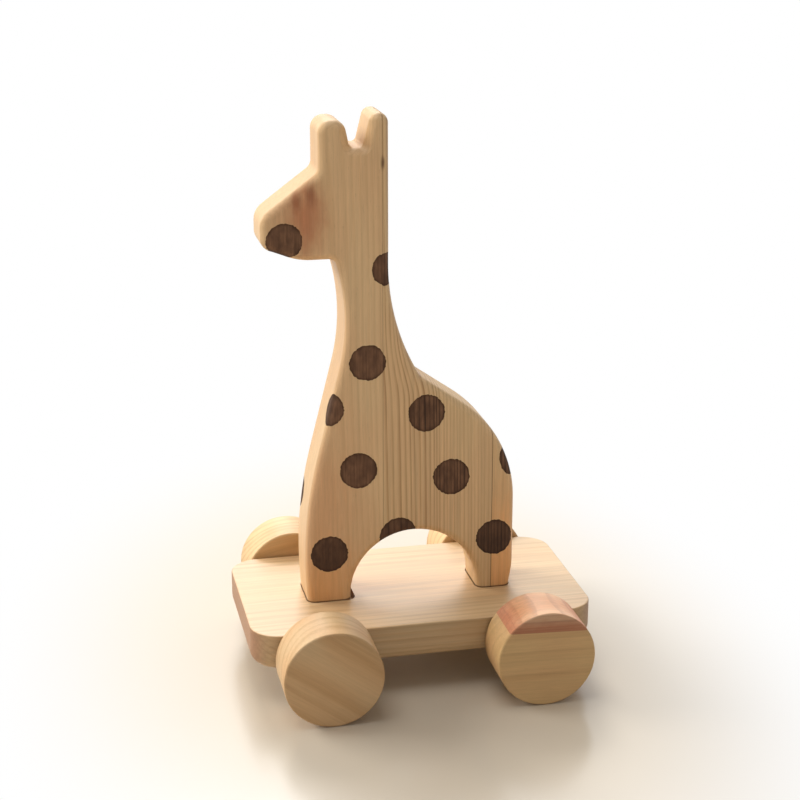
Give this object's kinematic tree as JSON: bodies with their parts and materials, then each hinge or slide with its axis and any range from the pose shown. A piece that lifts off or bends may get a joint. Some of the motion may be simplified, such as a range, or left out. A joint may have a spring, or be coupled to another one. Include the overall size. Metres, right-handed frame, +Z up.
{
  "type": "wheeled giraffe toy",
  "caption": "Flat wooden giraffe with round scorched spots, let into a rounded base board that rolls on disc wheels glued to dowel axles; a push-along toy.",
  "frame": {"origin": "middle of the toy's footprint on the table, under the middle of the base board", "axes": "+Z up from the table; the giraffe looks along -X; its left side faces -Y, and both axles run along Y"},
  "size_m": [0.128, 0.1136, 0.2082],
  "materials": {
    "pine_front": "sanded and lightly oiled",
    "pine_middle": "sanded and lightly oiled, tight growth rings",
    "pine_rear": "sanded and lightly oiled",
    "scorched_pine": "scorched brown, matt",
    "pine_base": "sanded and lightly oiled",
    "pine_wheel": "sanded and lightly oiled",
    "red_pine": "sanded reddish heartwood",
    "beech_dowel": "plain turned dowel"
  },
  "bodies": {
    "giraffe_on_base": {"giraffe_front_stave": "pine_front", "giraffe_middle_stave": "pine_middle", "giraffe_rear_stave": "pine_rear", "scorched_spots_left": "scorched_pine", "scorched_spots_right": "scorched_pine", "base_board": "pine_base"},
    "front_wheelset": {"front_axle": "beech_dowel", "wheel_front_left": "pine_wheel", "wheel_front_right": "pine_wheel"},
    "rear_wheelset": {"rear_axle": "beech_dowel", "wheel_rear_left": "pine_wheel", "wheel_rear_left_segment": "red_pine", "wheel_rear_right": "pine_wheel"}
  },
  "joints": [
    {"name": "front_axle_spin", "type": "hinge", "parent": "giraffe_on_base", "child": "front_wheelset", "pos_m": [-0.0385, 0, 0.018], "axis": [0, 1, 0], "continuous": true},
    {"name": "rear_axle_spin", "type": "hinge", "parent": "giraffe_on_base", "child": "rear_wheelset", "pos_m": [0.039, 0, 0.018], "axis": [0, 1, 0], "continuous": true}
  ]
}
